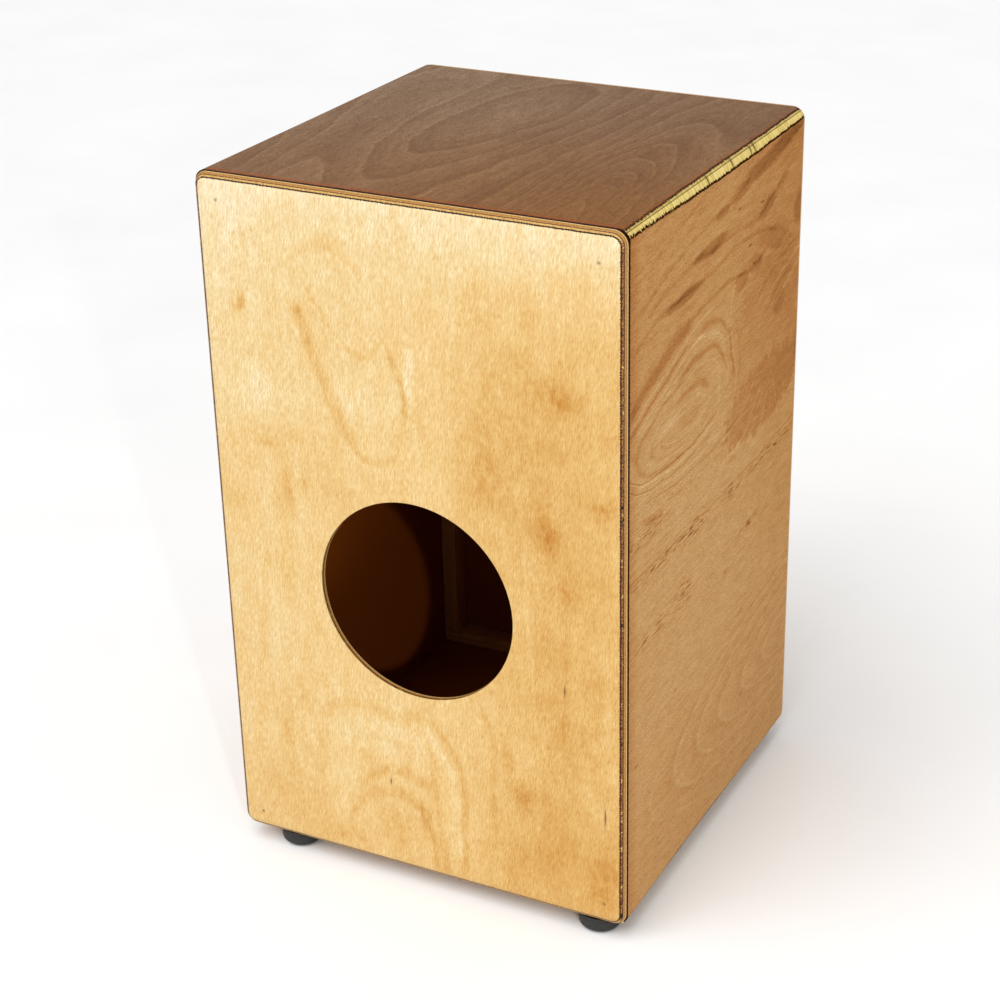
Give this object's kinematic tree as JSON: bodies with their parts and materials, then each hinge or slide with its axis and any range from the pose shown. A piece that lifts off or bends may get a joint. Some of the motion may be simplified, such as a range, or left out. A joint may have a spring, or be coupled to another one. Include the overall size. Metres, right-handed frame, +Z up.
{
  "type": "cajon",
  "caption": "Box drum to sit on: mitred plywood box, thick back with a round sound hole, thin front playing plate, tilting snare bar inside and rubber feet.",
  "frame": {"origin": "on the floor, under the middle of the box", "axes": "+Z up; -Y out of the playing plate (front); +Y out of the back panel with the sound hole; +X to the right seen from the front"},
  "size_m": [0.3, 0.298, 0.498],
  "materials": {
    "seat_ply": "satin varnished beech plywood, grey-brown",
    "side_ply": "satin varnished beech plywood, tan",
    "back_ply": "satin varnished beech plywood, pale yellow",
    "tapa_ply": "satin varnished thin beech plywood",
    "inner_wood": "raw sawn pine and beech",
    "foot_rubber": "matt black rubber",
    "black_steel": "black oxide",
    "bright_steel": "zinc plated",
    "dark_felt": "pressed felt",
    "black_plastic": "moulded"
  },
  "bodies": {
    "box": {"top_panel": "seat_ply", "side_panel_right": "side_ply", "side_panel_left": "side_ply", "bottom_panel": "side_ply", "back_panel": "back_ply", "tapa": "tapa_ply", "front_batten_top": "inner_wood", "front_batten_bottom": "inner_wood", "front_batten_left": "inner_wood", "front_batten_right": "inner_wood", "back_batten_top": "inner_wood", "back_batten_bottom": "inner_wood", "back_batten_left": "inner_wood", "back_batten_right": "inner_wood", "brad_top_right": "black_steel", "brad_top_left": "black_steel", "brad_bottom_right": "black_steel", "brad_bottom_left": "black_steel", "tapa_screw_bottom_1": "black_steel", "tapa_screw_bottom_2": "black_steel", "tapa_screw_bottom_3": "black_steel", "tapa_screw_bottom_4": "black_steel", "tapa_screw_top_1": "black_steel", "tapa_screw_top_2": "black_steel", "tapa_screw_top_3": "black_steel", "tapa_screw_top_4": "black_steel", "tapa_screw_left_1": "black_steel", "tapa_screw_left_2": "black_steel", "tapa_screw_left_3": "black_steel", "tapa_screw_right_1": "black_steel", "tapa_screw_right_2": "black_steel", "tapa_screw_right_3": "black_steel", "foot_back_right": "foot_rubber", "foot_back_left": "foot_rubber", "foot_front_right": "foot_rubber", "foot_front_left": "foot_rubber", "foot_screw_back_right": "black_steel", "foot_screw_back_left": "black_steel", "foot_screw_front_right": "black_steel", "foot_screw_front_left": "black_steel", "friction_washer_left": "dark_felt", "friction_washer_right": "dark_felt"},
    "snare_carriage": {"snare_bar": "inner_wood", "snare_wires_left": "bright_steel", "snare_wires_right": "bright_steel", "lever_rod": "bright_steel", "lever_knob": "black_plastic", "pivot_pin_left": "bright_steel", "pivot_pin_right": "bright_steel", "snare_screw_left_inner": "bright_steel", "snare_screw_left_outer": "bright_steel", "snare_screw_right_inner": "bright_steel", "snare_screw_right_outer": "bright_steel"}
  },
  "joints": [
    {"name": "snare_tilt", "type": "hinge", "parent": "box", "child": "snare_carriage", "pos_m": [0, -0.135, 0.346], "axis": [1, 0, 0], "range_deg": [0, 10]}
  ]
}
